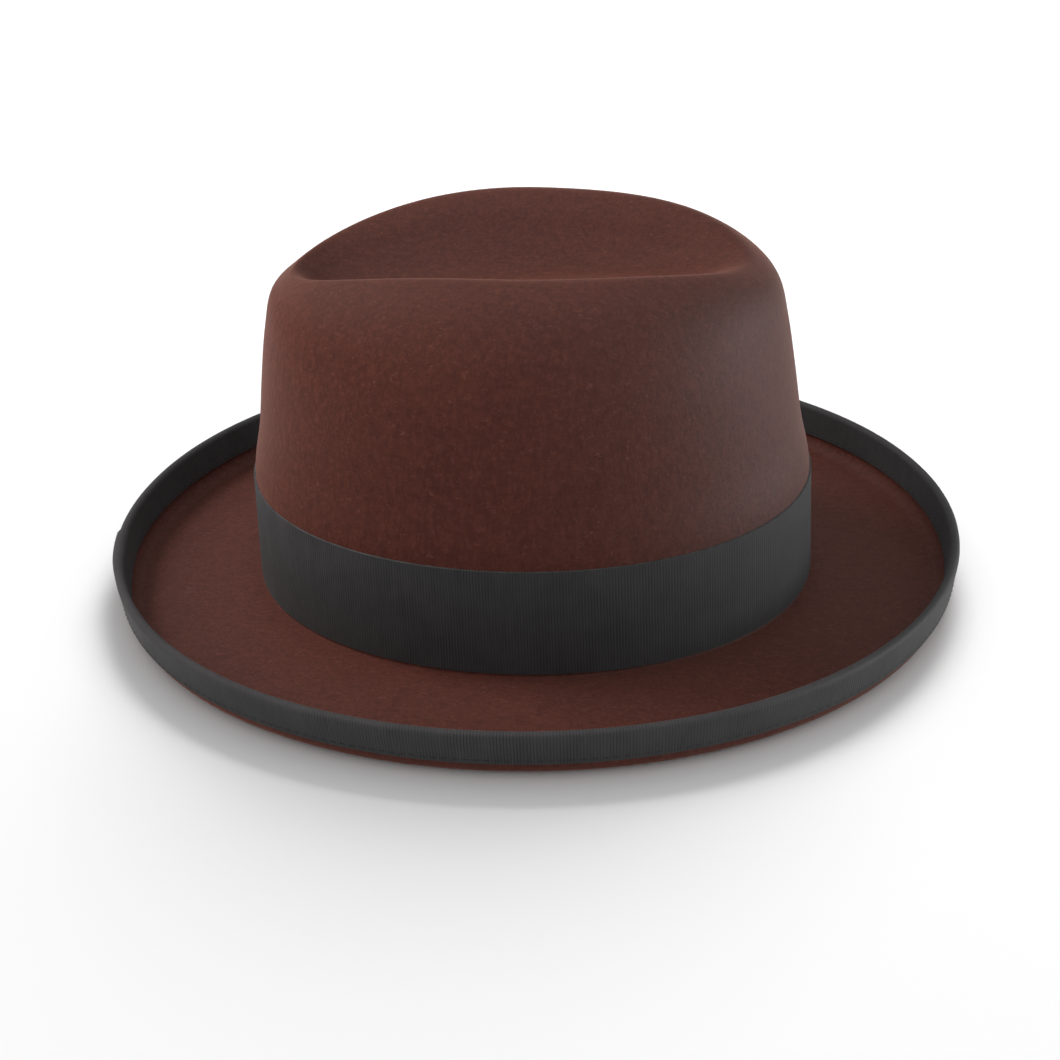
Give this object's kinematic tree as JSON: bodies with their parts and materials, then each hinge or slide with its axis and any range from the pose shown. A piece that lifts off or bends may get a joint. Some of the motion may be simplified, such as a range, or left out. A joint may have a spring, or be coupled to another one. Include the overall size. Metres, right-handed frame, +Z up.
{
  "type": "homburg hat",
  "caption": "Stiff felt dress hat with a long dent in the crown, a ribbon band with a flat side bow, and a brim curled up all round and bound at the edge.",
  "frame": {"origin": "on the surface the hat stands on, under the middle of its overall length and width", "axes": "+X to the front of the hat, +Y to the wearer's left, +Z up out of the crown"},
  "size_m": [0.3192, 0.2888, 0.1348],
  "materials": {
    "felt": "short velvety nap",
    "ribbon": "ribbed grosgrain, low sheen",
    "binding": "ribbed grosgrain, low sheen",
    "ribbon_thread": "matt thread",
    "binding_thread": "matt thread",
    "sweatband_leather": "smooth satin",
    "reed": "satin",
    "tape": "woven",
    "sweatband_thread": "matt thread",
    "satin_ribbon": "satin",
    "lining": "satin",
    "piping": "satin",
    "ticket": "matt"
  },
  "bodies": {
    "root": {"felt_body": "felt", "crown_ribbon": "ribbon", "bow_tails": "ribbon", "bow_loops": "ribbon", "bow_knot": "ribbon", "bow_stitches": "ribbon_thread", "brim_binding": "binding", "binding_stitches_outer": "binding_thread", "binding_stitches_inner": "binding_thread", "sweatband": "sweatband_leather", "sweat_reed": "reed", "reed_tape": "tape", "sweatband_stitches": "sweatband_thread", "back_seam_stitches": "sweatband_thread", "back_bow_loops": "satin_ribbon", "back_bow_knot": "satin_ribbon", "lining_side": "lining", "lining_tip": "lining", "lining_piping": "piping", "size_ticket": "ticket"}
  },
  "joints": []
}
